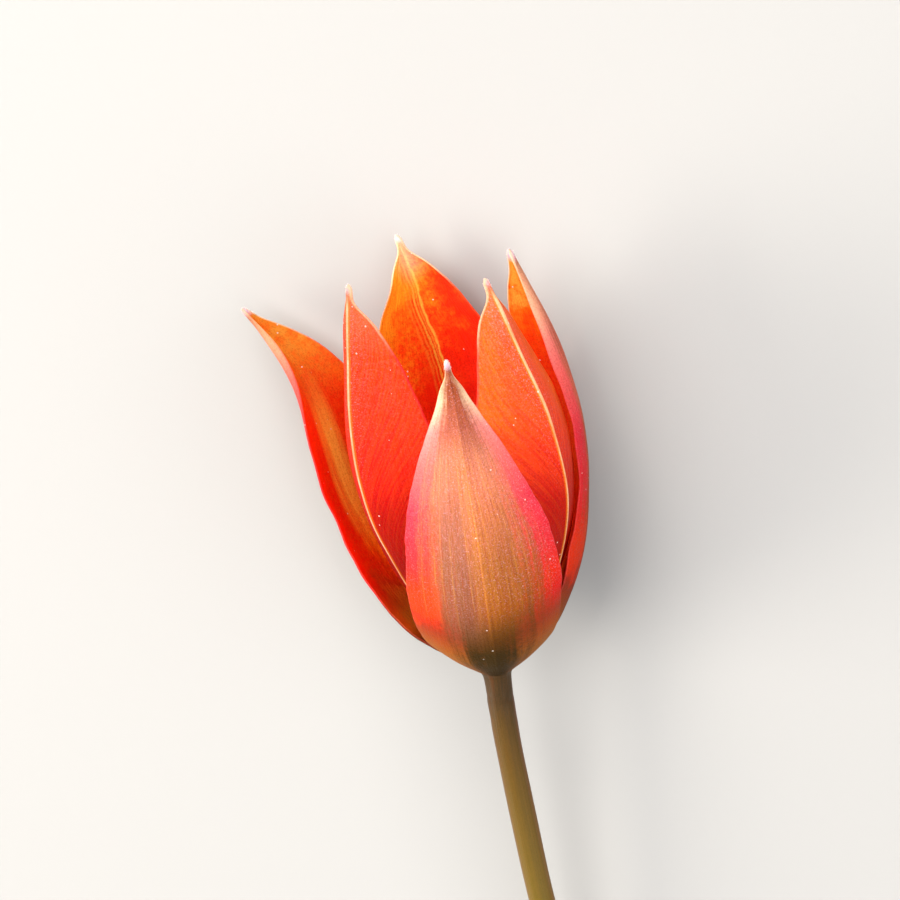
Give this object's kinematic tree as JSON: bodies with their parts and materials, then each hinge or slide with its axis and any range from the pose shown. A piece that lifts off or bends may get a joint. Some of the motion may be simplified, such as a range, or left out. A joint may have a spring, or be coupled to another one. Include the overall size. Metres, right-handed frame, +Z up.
{
  "type": "cut wild tulip flower",
  "caption": "Single orange-red wild tulip on a short bare cut stem, laid on its side: pointed tepals in two whorls round stamens and a pistil.",
  "frame": {"origin": "under the middle of the bounding box, on the surface that the flower lies on", "axes": "+Z up from the surface, +Y from the cut end of the stem towards the mouth of the flower"},
  "size_m": [0.0366, 0.1342, 0.0292],
  "materials": {
    "stem": "satin, olive-brown flushed with pink",
    "tepal_outer": "satin, buff and rose outside, orange-red inside",
    "tepal_inner": "satin, orange-red with a pale rib",
    "filament": "matte, dark olive",
    "anther": "matte, dusted with pollen",
    "ovary": "satin green",
    "stigma": "matte, yellowish"
  },
  "bodies": {
    "root": {"stem": "stem", "tepal_outer_top": "tepal_outer", "tepal_outer_left": "tepal_outer", "tepal_outer_right": "tepal_outer", "tepal_inner_left": "tepal_inner", "tepal_inner_right": "tepal_inner", "tepal_inner_under": "tepal_inner", "filament_1": "filament", "filament_2": "filament", "filament_3": "filament", "filament_4": "filament", "filament_5": "filament", "filament_6": "filament", "anther_1": "anther", "anther_2": "anther", "anther_3": "anther", "anther_4": "anther", "anther_5": "anther", "anther_6": "anther", "ovary": "ovary", "stigma": "stigma"}
  },
  "joints": []
}
